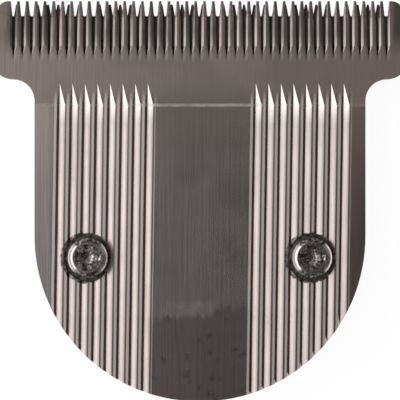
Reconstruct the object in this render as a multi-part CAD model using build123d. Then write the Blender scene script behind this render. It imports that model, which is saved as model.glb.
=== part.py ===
from build123d import *
import os
from math import sqrt

# Trimmer blade head: a T-shaped comb blade, a cutter that slides behind it, and the moulded base under both.
# +X runs along the row of teeth, +Y points to the tooth tips and +Z points out of the ground face.
# The origin lies on the seat of the base, midway between the two screws. All sizes are in millimetres.

# Comb blade outline, seen on its ground face
tip_reach = 25.75            # screw line to the tooth tips
head_width = 40.9            # across the T
head_depth = 7.9             # tooth tips to the lower edge of the T
body_width = 33.1
tail_centre_y = 2.15         # centre of the half-round tail
shoulder_radius = 2.2        # between the body and the T
corner_width = 1.85          # rounding of the T's lower corners
corner_height = 1.15
top_corner_radius = 1.2

# Comb blade section
plate_thickness = 1.9
tip_thickness = 0.55
bevel_length = 10.5          # tooth tips to the edge where the bevel starts
hollow_width = 3.3           # shallow trough ground across the back of the head
hollow_depth = 0.25

# Comb teeth
slot_pitch = 0.891
slot_width = 0.28
tip_gap = 0.64               # open width between two tooth points
point_length = 1.7           # tapered end of a tooth
guard_width = 1.4            # least width of the blunt tooth at each end
slot_length_back = 4.95      # tips to the slot's end on the back
slot_length_face = 5.7       # tips to where the slot runs out on the bevel
slot_wheel_radius = 50.0     # grinding wheel that cuts the slots
slot_wheel_point = 0.75      # height of the wheel's pointed rim
edge_break_width = 0.22      # sloped edge ground along both sides of a slot
edge_break_depth = 0.13
edge_break_length = 5.45     # tips to the point where the two sloped edges meet
edge_break_point = 1.0       # length over which they draw together

# Ribbed panels on the face
groove_count = 8
groove_pitch = 1.258
groove_depth = 0.28
groove_steep_side = 0.25     # width of the steep flank
groove_flat_side = 0.58      # width of the gentle flank
groove_inner = 5.41          # half the distance between the two inner grooves
groove_offset = -0.08        # shift of both panels to the right
groove_lean = 0.86           # degrees by which the grooves lean to the right

# Screws
screw_spacing = 22.4
screw_diameter = 2.0
screw_head_diameter = 4.0
screw_head_height = 1.5
screw_edge_width = 0.5       # crowned edge between the rim of the head and its flat top
screw_edge_height = 0.38
screw_edge_radius = 1.2
screw_recess_span = 2.6
screw_recess_width = 0.95
screw_recess_depth = 0.9
screw_recess_taper = 15
screw_turns = (-4, 3)        # how far each cross recess is turned
spotface_diameter = 4.85
spotface_depth = 0.55
screw_hole_clearance = 0.2
thread_clearance = 0.05
screw_end_gap = 0.6          # screw ends stay this far above the seat

# Cutter
stroke = 2.4                 # full travel from side to side
cutter_end_margin = 0.35     # T's end to the cutter's end at full travel
cutter_pitch = 1.04
cutter_row_shift = -0.24     # shift of the tooth row on the cutter, to the right
cutter_tip_width = 0.2
cutter_root_width = 0.62
cutter_tooth_length = 1.15
cutter_setback = 0.3         # cutter tips behind the comb's tips
cutter_thickness = 1.3
cutter_tip_thickness = 0.5
cutter_bevel_length = 2.6
cutter_bar_depth = 6.55      # full-width bar behind the cutter's tips
cutter_depth = 16.45         # cutter tips to its rear edge
cutter_corner_radius = 1.0
run_gap = 0.05               # running gap between the blades

# Driver that carries the cutter
pin_diameter = 3.0           # eccentric drive pin that works in the slot
pin_clearance = 0.1
slot_end_clearance = 0.3
driver_width = 9.0
driver_end_wall = 1.2
driver_lip_height = 0.9      # lip behind the cutter's rear edge
driver_seat_gap = 0.1
driver_edge_radius = 0.8
peg_diameter = 1.6
peg_clearance = 0.05
peg_recess = 0.15            # pegs end this far below the cutter's face

# Moulded base
base_height = 5.6            # seat to the back of the comb blade
base_inset = 0.9             # base outline inside the comb blade's outline
base_wall = 1.9
base_floor = 1.5
base_edge_chamfer = 0.45
base_front_inset = 1.25      # behind the T's lower edge
base_corner_radius = 0.9
front_wall = 1.6
front_gap = 0.3              # front wall under the cutter
cutter_side_gap = 0.35       # cutter to the side walls at full travel
boss_diameter = 6.2
rail_thickness = 0.9
rail_height = 2.1
rail_gap = 0.1               # guides to the driver
driver_floor_gap = 0.2
window_margin = 0.9          # round the drive pin's path
catch_width = 9.0            # tail groove for the nose's lip
catch_height = 1.4
catch_depth = 0.9
latch_length = 4.0           # side notches for the nose's latches
latch_y = 11.0

# Spring
spring_thickness = 0.35
spring_anchor_y = -4.0
spring_tab_length = 4.4
spring_tab_width = 10.4
spring_arm_width = 2.0
spring_tip_x = 9.4           # middle of each arm at its tip
spring_tip_gap = 0.5         # arm tips to the front wall
spring_tip_length = 1.2
spring_tip_drop = 0.42
spring_bend_radius = 1.0
spring_gap = 0.05            # spring ridges to the cutter's back
stake_diameter = 2.4
stake_head_diameter = 4.2
stake_head_height = 0.7
stake_head_chamfer = 0.45

# Levels and lines that follow from the sizes above
back_z = base_height
face_z = back_z + plate_thickness
bevel_slope = (plate_thickness - tip_thickness) / bevel_length
shoulder_y = tip_reach - head_depth
bevel_y = tip_reach - bevel_length
slot_count = int((head_width - 2 * guard_width - tip_gap) / slot_pitch) + 1
screw_xs = (-screw_spacing / 2, screw_spacing / 2)

cutter_top_z = back_z - run_gap
cutter_bottom_z = cutter_top_z - cutter_thickness
cutter_tip_y = tip_reach - cutter_setback
cutter_rear_y = cutter_tip_y - cutter_depth
cutter_width = head_width - stroke - 2 * cutter_end_margin
cutter_row_width = cutter_width - cutter_root_width - 2 * abs(cutter_row_shift)
cutter_teeth = int(cutter_row_width / cutter_pitch) + 1

base_half_width = body_width / 2 - base_inset
pocket_half_width = base_half_width - base_wall
base_front_y = shoulder_y - base_front_inset
pocket_front_y = base_front_y - front_wall
cutter_tongue_width = 2 * (pocket_half_width - cutter_side_gap) - stroke
front_wall_z = cutter_bottom_z - front_gap

pin_slot_width = pin_diameter + 2 * pin_clearance
pin_slot_length = pin_diameter + stroke + 2 * slot_end_clearance
driver_front_y = pocket_front_y - rail_gap
driver_rear_y = driver_front_y - pin_slot_length - 2 * driver_end_wall
pin_slot_y = (driver_front_y + driver_rear_y) / 2
peg_x = (pin_slot_width + driver_width) / 4
peg_y = (cutter_rear_y + driver_front_y) / 2


def row(count, pitch):
    """Positions of evenly spaced things, centred on zero."""
    return [(i - (count - 1) / 2) * pitch for i in range(count)]


def prism(points, plane, length):
    """Straight-sided solid with the given outline, centred on the plane."""
    face = make_face(Polyline(*points, close=True))
    return extrude(plane * face, length / 2, both=True)


def comb_outline():
    """T with a half-round tail, as blanked from strip."""
    half_body = body_width / 2
    half_head = head_width / 2
    with BuildSketch() as outline:
        with BuildLine():
            tail = CenterArc((0, tail_centre_y), half_body, -90, 90)
            side = Line(tail @ 1, (half_body, shoulder_y - shoulder_radius))
            neck = TangentArc(side @ 1, (half_body + shoulder_radius, shoulder_y), tangent=(0, 1))
            Line(neck @ 1, (half_head - corner_width, shoulder_y))
            corner_centre = (half_head - corner_width, shoulder_y + corner_height)
            lower_corner = EllipticalCenterArc(
                corner_centre, corner_width, corner_height, start_angle=270, arc_size=90
            )
            end = Line(lower_corner @ 1, (half_head, tip_reach - top_corner_radius))
            upper_corner = TangentArc(end @ 1, (half_head - top_corner_radius, tip_reach), tangent=(0, 1))
            Line(upper_corner @ 1, (0, tip_reach))
            mirror(about=Plane.YZ)
        make_face()
    return outline.sketch


def bevel_height(y):
    """Height of the bevel-ground face at a distance y from the screw line."""
    return face_z - bevel_slope * (y - bevel_y)


def edge_break_tool():
    """Blunt V along one slot that slopes the upper edges of the teeth beside it and runs out in a point."""
    half = slot_width / 2 + edge_break_width
    root = half * edge_break_depth / edge_break_width
    point_y = tip_reach - edge_break_length
    full_y = point_y + edge_break_point
    point = Vertex(0, point_y, bevel_height(point_y))
    across = Plane((0, full_y, bevel_height(full_y)), x_dir=(1, 0, 0), z_dir=(0, 1, -bevel_slope))
    section = across * make_face(Polyline((0, root), (2 * half, -root), (-2 * half, -root), close=True))
    return extrude(section, 2 * edge_break_length) + loft([point, section], ruled=True)


def slot_tool():
    """Grinding wheel that cuts one slot, with the wedge that tapers the two tooth points beside it."""
    half = slot_width / 2
    rim = slot_wheel_radius - slot_wheel_point
    section = Polyline((-half, 0), (half, 0), (half, rim), (0, slot_wheel_radius), (-half, rim), close=True)
    wheel = revolve(make_face(section), Axis.X)
    back_y = tip_reach - slot_length_back
    face_y = tip_reach - slot_length_face
    face_height = bevel_height(face_y)
    chord = Vector(0, face_y - back_y, face_height - back_z)
    middle = Vector(0, (back_y + face_y) / 2, (back_z + face_height) / 2)
    inward = Vector(0, chord.Z, -chord.Y).normalized()
    centre = middle + inward * sqrt(slot_wheel_radius**2 - (chord.length / 2) ** 2)
    taper = (tip_gap - slot_width) / 2 / point_length
    overrun = point_length / 2
    mouth = half + taper * (point_length + overrun)
    wedge_points = (
        (-half, tip_reach - point_length),
        (half, tip_reach - point_length),
        (mouth, tip_reach + overrun),
        (-mouth, tip_reach + overrun),
    )
    wedge = prism(wedge_points, Plane.XY.offset(back_z), 4 * plate_thickness)
    return Pos(*centre) * wheel + wedge + edge_break_tool()


def groove_tool():
    """Sawtooth groove along the face, with its lowest line on x = 0; it stands clear of both ends."""
    reach = 2 * (tip_reach + body_width)
    points = (
        (0, -groove_depth),
        (2 * groove_flat_side, groove_depth),
        (-2 * groove_steep_side, groove_depth),
    )
    return Pos(0, 0, face_z) * prism(points, Plane.XZ, reach)


def fixed_blade():
    """Comb blade: bevel-ground T with a row of slots, two ribbed panels and two spotfaced screw holes."""
    blade = extrude(Plane.XY.offset(back_z) * comb_outline(), plate_thickness)
    bevel = Plane((0, bevel_y, face_z), x_dir=(1, 0, 0), z_dir=(0, bevel_slope, 1))
    blade = split(blade, bisect_by=bevel, keep=Keep.BOTTOM)
    hollow_radius = (hollow_width**2 / 4 + hollow_depth**2) / (2 * hollow_depth)
    hollow_y = tip_reach - (slot_length_face + head_depth + base_front_inset) / 2
    hollow = Rot(0, 90, 0) * Cylinder(hollow_radius, 2 * head_width)
    blade -= Pos(0, hollow_y, back_z - hollow_radius + hollow_depth) * hollow
    groove = groove_tool()
    panels = Pos(groove_offset) * Rot(0, 0, -groove_lean)
    for i in range(groove_count):
        for side in (-1, 1):
            blade -= panels * Pos(side * (groove_inner + i * groove_pitch)) * groove
    for x in screw_xs:
        blade -= Pos(x, 0, face_z) * Cylinder(spotface_diameter / 2, 2 * spotface_depth)
        blade -= Pos(x, 0, back_z) * Cylinder(screw_diameter / 2 + screw_hole_clearance, 3 * plate_thickness)
    slot = slot_tool()
    return blade - [Pos(x) * slot for x in row(slot_count, slot_pitch)]


def cutter_blade():
    """Sliding cutter: a toothed bar, cut back at both ends, with a narrower tongue that the driver holds."""
    bar_rear_y = cutter_tip_y - cutter_bar_depth
    bar = Pos(0, (cutter_tip_y + bar_rear_y) / 2) * Rectangle(cutter_width, cutter_bar_depth)
    tongue_length = cutter_tip_y - cutter_rear_y
    tongue = Pos(0, cutter_tip_y - tongue_length / 2) * Rectangle(cutter_tongue_width, tongue_length)
    rear_corners = (bar + tongue).vertices().filter_by(lambda v: v.Y < cutter_tip_y - cutter_tooth_length)
    outline = fillet(rear_corners, cutter_corner_radius)
    blade = extrude(Plane.XY.offset(cutter_bottom_z) * outline, cutter_thickness)
    drop = (cutter_thickness - cutter_tip_thickness) / cutter_bevel_length
    bevel = Plane(
        (0, cutter_tip_y - cutter_bevel_length, cutter_bottom_z), x_dir=(1, 0, 0), z_dir=(0, -drop, 1)
    )
    blade = split(blade, bisect_by=bevel, keep=Keep.TOP)
    half_root = (cutter_pitch - cutter_root_width) / 2
    half_tip = (cutter_pitch - cutter_tip_width) / 2
    flare = (half_tip - half_root) / cutter_tooth_length
    mouth = half_tip + flare * cutter_tooth_length
    root_y = cutter_tip_y - cutter_tooth_length
    open_y = cutter_tip_y + cutter_tooth_length
    gap_points = ((-half_root, root_y), (half_root, root_y), (mouth, open_y), (-mouth, open_y))
    end_points = ((-cutter_width, root_y), (half_root, root_y), (mouth, open_y), (-cutter_width, open_y))
    gap = prism(gap_points, Plane.XY.offset(cutter_top_z), 4 * cutter_thickness)
    end_cut = prism(end_points, Plane.XY.offset(cutter_top_z), 4 * cutter_thickness)
    gap_xs = [x + cutter_row_shift for x in row(cutter_teeth + 1, cutter_pitch)]
    blade -= [Pos(x) * gap for x in gap_xs[1:-1]]
    blade -= Pos(gap_xs[0]) * end_cut
    blade -= Pos(gap_xs[-1]) * mirror(end_cut, about=Plane.YZ)
    peg_hole = Cylinder(peg_diameter / 2 + peg_clearance, 4 * cutter_thickness)
    return blade - [Pos(x, peg_y, cutter_top_z) * peg_hole for x in (-peg_x, peg_x)]


def cutter_driver():
    """Moulded carrier under the cutter's tongue: a slot for the drive pin and two pegs in the cutter."""
    bottom_z = base_floor + driver_floor_gap
    length = driver_front_y - driver_rear_y
    plan = Pos(0, pin_slot_y) * RectangleRounded(driver_width, length, driver_edge_radius)
    slot = Pos(0, pin_slot_y) * Rot(0, 0, 90) * SlotOverall(pin_slot_length, pin_slot_width)
    body = extrude(Plane.XY.offset(bottom_z) * plan, cutter_bottom_z - bottom_z)
    lip_front_y = cutter_rear_y - driver_seat_gap
    lip_top_z = cutter_bottom_z + driver_lip_height
    lip_plan = plan & Pos(0, lip_front_y - length / 2) * Rectangle(2 * driver_width, length)
    body += extrude(Plane.XY.offset(bottom_z) * lip_plan, lip_top_z - bottom_z)
    body -= extrude(Plane.XY.offset(bottom_z) * slot, cutter_top_z - bottom_z)
    peg_top_z = cutter_top_z - peg_recess
    for x in (-peg_x, peg_x):
        peg = Circle(peg_diameter / 2)
        body += extrude(Plane.XY.offset(bottom_z) * Pos(x, peg_y) * peg, peg_top_z - bottom_z)
    return body


def tension_spring():
    """Stamped leaf spring: a tab staked to the base and two splayed arms that bear on the cutter's tongue."""
    tab_rear_y = spring_anchor_y - spring_tab_length / 2
    tab_front_y = spring_anchor_y + spring_tab_length / 2
    end_y = pocket_front_y - spring_tip_gap
    ridge_y = end_y - spring_tip_length
    flat_z = base_floor + spring_thickness / 2
    ridge_z = cutter_bottom_z - spring_gap - spring_thickness / 2
    path = FilletPolyline(
        (tab_rear_y, flat_z),
        (tab_front_y + spring_bend_radius, flat_z),
        (ridge_y, ridge_z),
        (end_y, ridge_z - spring_tip_drop),
        radius=spring_bend_radius,
    )
    bent = extrude(Plane.YZ * trace(path, spring_thickness), spring_tip_x + spring_tab_width, both=True)
    half_tab = spring_tab_width / 2
    half_arm = spring_arm_width / 2
    blank = Pos(0, spring_anchor_y) * Rectangle(spring_tab_width, spring_tab_length)
    arm_points = (
        (half_tab - spring_arm_width, tab_front_y - spring_arm_width),
        (half_tab, tab_front_y - spring_arm_width),
        (spring_tip_x + half_arm, end_y),
        (spring_tip_x - half_arm, end_y),
    )
    arm = make_face(Polyline(*arm_points, close=True))
    blank += arm
    blank += mirror(arm, about=Plane.YZ)
    blank -= Pos(0, spring_anchor_y) * Circle(stake_diameter / 2 + peg_clearance)
    return bent & extrude(blank, face_z)


def u_outline(half_width, front_y):
    """Straight sides and a half-round tail, concentric with the comb blade's tail."""
    tail = CenterArc((0, tail_centre_y), half_width, 180, 180)
    sides = Polyline(tail @ 1, (half_width, front_y), (-half_width, front_y), tail @ 0)
    return make_face(tail + sides)


def base_shell():
    """Open tray with a rounded lower edge; its front wall is low enough for the cutter to pass over it."""
    outline = u_outline(base_half_width, base_front_y)
    outline = fillet(outline.vertices().group_by(Axis.Y)[-1], base_corner_radius)
    shell = extrude(outline, base_height)
    shell = chamfer(shell.faces().sort_by(Axis.Z)[0].edges(), base_edge_chamfer)
    pocket = u_outline(pocket_half_width, pocket_front_y)
    shell -= extrude(Plane.XY.offset(base_floor) * pocket, base_height)
    passage_length = 4 * front_wall
    passage = Box(2 * pocket_half_width, passage_length, base_height)
    return shell - Pos(0, pocket_front_y + passage_length / 2, front_wall_z + base_height / 2) * passage


def blade_base():
    """Moulded base: tray, screw bosses, guide rail, spring stake, drive window and catches for the nose."""
    base = base_shell()
    for x in screw_xs:
        boss = Circle(boss_diameter / 2)
        base += extrude(Pos(x, 0) * boss, base_height)
        base -= Pos(x, 0) * Cylinder(screw_diameter / 2 + thread_clearance, 4 * base_height)
    rail_y = driver_rear_y - rail_gap - rail_thickness / 2
    base += Pos(0, rail_y, base_floor + rail_height / 2) * Box(driver_width, rail_thickness, rail_height)
    stake_top_z = base_floor + spring_thickness
    stake_place = Pos(0, spring_anchor_y)
    base += extrude(stake_place * Circle(stake_diameter / 2), stake_top_z)
    stake_head = extrude(stake_place * Circle(stake_head_diameter / 2), stake_head_height)
    stake_head = chamfer(stake_head.faces().sort_by(Axis.Z)[-1].edges(), stake_head_chamfer)
    base += Pos(0, 0, stake_top_z) * stake_head
    window_size = pin_diameter + stroke + 2 * window_margin
    window = Pos(0, pin_slot_y) * RectangleRounded(window_size, window_size, window_margin)
    base -= extrude(window, base_floor)
    tail_y = tail_centre_y - base_half_width
    catch_z = base_floor + catch_height / 2
    base -= Pos(0, tail_y, catch_z) * Box(catch_width, 2 * catch_depth, catch_height)
    for x in (-base_half_width, base_half_width):
        base -= Pos(x, latch_y, catch_z) * Box(2 * catch_depth, latch_length, catch_height)
    return base


def face_screw(turn):
    """Pan-head screw with a flat top, a crowned edge and a cross recess, standing on its spotface."""
    radius = screw_head_diameter / 2
    shank_radius = screw_diameter / 2
    seat_z = face_z - spotface_depth
    top_z = seat_z + screw_head_height
    with BuildSketch(Plane.XZ) as half:
        with BuildLine():
            axis = Line((0, top_z), (0, screw_end_gap))
            shank = Polyline(axis @ 1, (shank_radius, screw_end_gap), (shank_radius, seat_z))
            rim = Polyline(shank @ 1, (radius, seat_z), (radius, top_z - screw_edge_height))
            crown = RadiusArc(rim @ 1, (radius - screw_edge_width, top_z), -screw_edge_radius)
            Line(crown @ 1, axis @ 0)
        make_face()
    screw = revolve(half.sketch, Axis.Z)
    wing = Rectangle(screw_recess_span, screw_recess_width)
    cross = wing + Rot(0, 0, 90) * wing
    recess = extrude(Plane.XY.offset(top_z) * cross, -screw_recess_depth, taper=screw_recess_taper)
    return Rot(0, 0, turn) * (screw - recess)


def face_screws():
    """The pair of screws that clamp the comb blade to the base."""
    return Compound([Pos(x, 0) * face_screw(turn) for x, turn in zip(screw_xs, screw_turns)])


nodes = {
    "fixed_blade": fixed_blade,
    "cutter_blade": cutter_blade,
    "cutter_driver": cutter_driver,
    "tension_spring": tension_spring,
    "blade_base": blade_base,
    "face_screws": face_screws,
}

os.makedirs("parts", exist_ok=True)
for name, build in nodes.items():
    export_step(build(), f"parts/{name}.step")
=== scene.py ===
"""Finishes, screws, studio and camera of a trimmer blade head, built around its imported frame."""

import logging
import math
from dataclasses import dataclass
from enum import Enum
from functools import cached_property

import bpy
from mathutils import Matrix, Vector


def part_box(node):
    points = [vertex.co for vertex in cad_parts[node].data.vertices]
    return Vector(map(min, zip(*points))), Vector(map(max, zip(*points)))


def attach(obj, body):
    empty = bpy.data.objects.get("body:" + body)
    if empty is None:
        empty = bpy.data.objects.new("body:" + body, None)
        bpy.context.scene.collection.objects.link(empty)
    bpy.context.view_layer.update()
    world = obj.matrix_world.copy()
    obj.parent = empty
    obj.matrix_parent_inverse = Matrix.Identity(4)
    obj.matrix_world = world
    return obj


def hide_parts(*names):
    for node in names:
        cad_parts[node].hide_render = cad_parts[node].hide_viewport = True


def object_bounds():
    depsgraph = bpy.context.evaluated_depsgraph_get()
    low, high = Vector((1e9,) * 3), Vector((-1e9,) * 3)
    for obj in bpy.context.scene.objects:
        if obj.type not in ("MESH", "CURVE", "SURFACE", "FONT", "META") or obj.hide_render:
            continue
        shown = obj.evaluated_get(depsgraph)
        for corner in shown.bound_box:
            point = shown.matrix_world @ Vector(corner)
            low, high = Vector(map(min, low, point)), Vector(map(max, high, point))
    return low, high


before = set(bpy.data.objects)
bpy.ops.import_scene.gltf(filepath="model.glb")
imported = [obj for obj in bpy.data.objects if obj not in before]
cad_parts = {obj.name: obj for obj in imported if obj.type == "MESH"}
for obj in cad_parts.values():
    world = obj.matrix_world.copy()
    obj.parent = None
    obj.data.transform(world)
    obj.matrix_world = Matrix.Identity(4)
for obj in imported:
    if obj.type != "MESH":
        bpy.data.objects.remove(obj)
CAD_LOW, CAD_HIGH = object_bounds()

MM = 0.001
LOG = logging.getLogger("blade_head")

FACE_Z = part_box("fixed_blade")[1].z
SCREWS_LOW, SCREWS_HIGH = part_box("face_screws")
SCREW_RADIUS = (SCREWS_HIGH.y - SCREWS_LOW.y) / 2
SCREW_HALF_SPACING = (SCREWS_HIGH.x - SCREWS_LOW.x) / 2 - SCREW_RADIUS

Colour = tuple[float, float, float]
Pair = tuple[float, float]
Piece = bpy.types.Object
Node = bpy.types.Node
Group = bpy.types.ShaderNodeTree
Socket = bpy.types.NodeSocket
Feed = float | tuple[float, ...] | Socket


class Body(Enum):
    """The two bodies of the blade head."""

    HEAD = "head"
    CUTTER = "cutter"


class Slot(Enum):
    """Names of the material slots."""

    GROUND_STEEL = "ground_steel"
    CUTTER_STEEL = "cutter_steel"
    ACETAL = "acetal"
    SPRING_STEEL = "spring_steel"
    BLACK_NYLON = "black_nylon"
    SCREW_STEEL = "screw_steel"


class Grain(Enum):
    """Direction in which a surface was ground or rolled, as a turn about Z in radians."""

    ALONG_Y = 0.0
    ALONG_X = math.pi / 2


@dataclass(frozen=True)
class Noise:
    """How a noise is drawn: its octaves, the weight of the finer ones, and what becomes 0 and 1."""

    octaves: float
    fine_weight: float
    low: float
    high: float


LINE_NOISE = Noise(octaves=3.0, fine_weight=0.6, low=0.3, high=0.7)
PATCH_NOISE = Noise(octaves=4.0, fine_weight=0.55, low=0.32, high=0.68)
PEBBLE_NOISE = Noise(octaves=3.0, fine_weight=0.6, low=0.35, high=0.65)
TONE_NOISE = Noise(octaves=2.0, fine_weight=0.5, low=0.35, high=0.65)
PEBBLES_PER_TONE = 20.0


class NodeSheet:
    """Short calls that fill one shader node tree."""

    def __init__(self, tree: bpy.types.NodeTree) -> None:
        """Keeps the tree that the other calls fill."""
        self.tree = tree

    @classmethod
    def empty(cls, owner: bpy.types.Material | bpy.types.World) -> "NodeSheet":
        """Turns on the nodes of a material or a world and clears them.

        Args:
            owner: the material or world.

        Returns:
            Its sheet.
        """
        owner.use_nodes = True
        owner.node_tree.nodes.clear()
        return cls(owner.node_tree)

    def add(self, kind: str, **settings: object) -> Node:
        """Adds one node.

        Args:
            kind: Blender's name of the node type.
            settings: properties of the node to set.

        Returns:
            The new node.
        """
        node = self.tree.nodes.new(kind)
        for name, value in settings.items():
            setattr(node, name, value)
        return node

    def feed(self, target: Socket, source: Feed) -> None:
        """Links a socket to the target, or sets the target to a plain value.

        Args:
            target: input socket.
            source: output socket, number or tuple.
        """
        if isinstance(source, Socket):
            self.tree.links.new(source, target)
        else:
            target.default_value = source

    def fill(self, node: Node, **sources: Feed) -> Node:
        """Feeds inputs of a node by name.

        Args:
            node: the node to feed.
            sources: its inputs by name, with underscores for spaces.

        Returns:
            The same node.
        """
        for name, source in sources.items():
            self.feed(node.inputs[name.replace("_", " ")], source)
        return node

    def place(self, group: Group, **values: Feed) -> bpy.types.NodeOutputs:
        """Places a node group with its own values and gives its outputs."""
        return self.fill(self.add("ShaderNodeGroup", node_tree=group), **values).outputs

    def math(self, operation: str, *operands: Feed) -> Socket:
        """Adds a Math node.

        Args:
            operation: name of the operation.
            operands: its inputs in order.

        Returns:
            The result socket.
        """
        node = self.add("ShaderNodeMath", operation=operation)
        for target, source in zip(node.inputs, operands):
            self.feed(target, source)
        return node.outputs[0]

    def product(self, first: Feed, *others: Feed) -> Feed:
        """Multiplies masks and shares.

        Args:
            first: the first factor.
            others: the factors after it.

        Returns:
            The product.
        """
        for other in others:
            first = self.math("MULTIPLY", first, other)
        return first

    def weigh(self, first: Feed, second: Feed, share: float) -> Socket:
        """Adds two values by weight, the first with its share and the second with the rest."""
        return self.math("MULTIPLY_ADD", first, share, self.math("MULTIPLY", second, 1.0 - share))

    def lift(self, value: Feed, least: float) -> Socket:
        """Lifts a value of 0 to 1 so that it runs from a least value to 1."""
        return self.math("MULTIPLY_ADD", value, 1.0 - least, least)

    def remap(
        self, value: Feed, low: float, high: float, to_low: float = 0.0, to_high: float = 1.0
    ) -> Socket:
        """Maps a range smoothly on to another and clamps it.

        Args:
            value: what is mapped.
            low: start of the input range.
            high: end of the input range.
            to_low: result at the start.
            to_high: result at the end.

        Returns:
            The result socket.
        """
        node = self.add("ShaderNodeMapRange", interpolation_type="SMOOTHSTEP")
        self.fill(node, Value=value, From_Min=low, From_Max=high, To_Min=to_low, To_Max=to_high)
        return node.outputs["Result"]

    def fall(self, value: Feed, low: float, high: float, to: float = 0.0) -> Socket:
        """Falls smoothly from 1 at the start of a range to another value at its end."""
        return self.remap(value, low, high, 1.0, to)

    def blend(self, factor: Feed, first: Feed, second: Feed) -> Socket:
        """Mixes two colours.

        Args:
            factor: 0 gives the first colour and 1 the second.
            first: colour or socket.
            second: colour or socket.

        Returns:
            The mixed colour.
        """
        node = self.add("ShaderNodeMix", data_type="RGBA")
        colours = [s for s in node.inputs if s.type == "RGBA"]
        self.feed(node.inputs["Factor"], factor)
        for target, source in zip(colours, (first, second)):
            plain = isinstance(source, tuple)
            self.feed(target, (*source, 1.0) if plain else source)
        return next(s for s in node.outputs if s.type == "RGBA")

    def mix_shaders(self, factor: Feed, first: Node, second: Node) -> Node:
        """Mixes two shaders.

        Args:
            factor: 0 gives the first shader and 1 the second.
            first: shader node.
            second: shader node.

        Returns:
            The mixing node.
        """
        node = self.add("ShaderNodeMixShader")
        for target, source in zip(node.inputs, (factor, first.outputs[0], second.outputs[0])):
            self.feed(target, source)
        return node

    def position(self) -> Socket:
        """Gives the place on the piece, in metres."""
        return self.add("ShaderNodeTexCoord").outputs["Object"]

    def axes(self, vector: Socket) -> list[Socket]:
        """Splits a vector into its three numbers."""
        return list(self.fill(self.add("ShaderNodeSeparateXYZ"), Vector=vector).outputs)

    def vector(self, x: Feed, y: Feed, z: Feed) -> Socket:
        """Joins three numbers into a vector."""
        return self.fill(self.add("ShaderNodeCombineXYZ"), X=x, Y=y, Z=z).outputs[0]

    def noise(self, place: Socket, scale: Feed, look: Noise) -> Socket:
        """Adds a noise texture.

        Args:
            place: coordinates.
            scale: features for each unit of the coordinates.
            look: how the noise is drawn.

        Returns:
            The noise, spread over 0 to 1.
        """
        node = self.add("ShaderNodeTexNoise")
        self.fill(node, Vector=place, Scale=scale, Detail=look.octaves, Roughness=look.fine_weight)
        return self.remap(node.outputs["Fac"], look.low, look.high)


class GroupSheet(NodeSheet):
    """Node sheet of a new shader node group with number sockets."""

    def __init__(self, name: str, inputs: tuple[str, ...], outputs: tuple[str, ...]) -> None:
        """Makes the group and its sockets.

        Args:
            name: the group's name.
            inputs: names of its inputs, which are 0 where nothing is fed.
            outputs: names of its outputs.
        """
        super().__init__(bpy.data.node_groups.new(name, "ShaderNodeTree"))
        for way, labels in (("INPUT", inputs), ("OUTPUT", outputs)):
            for label in labels:
                self.tree.interface.new_socket(name=label, in_out=way, socket_type="NodeSocketFloat")
        self.entry = self.add("NodeGroupInput").outputs
        self.exit = self.add("NodeGroupOutput")


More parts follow.
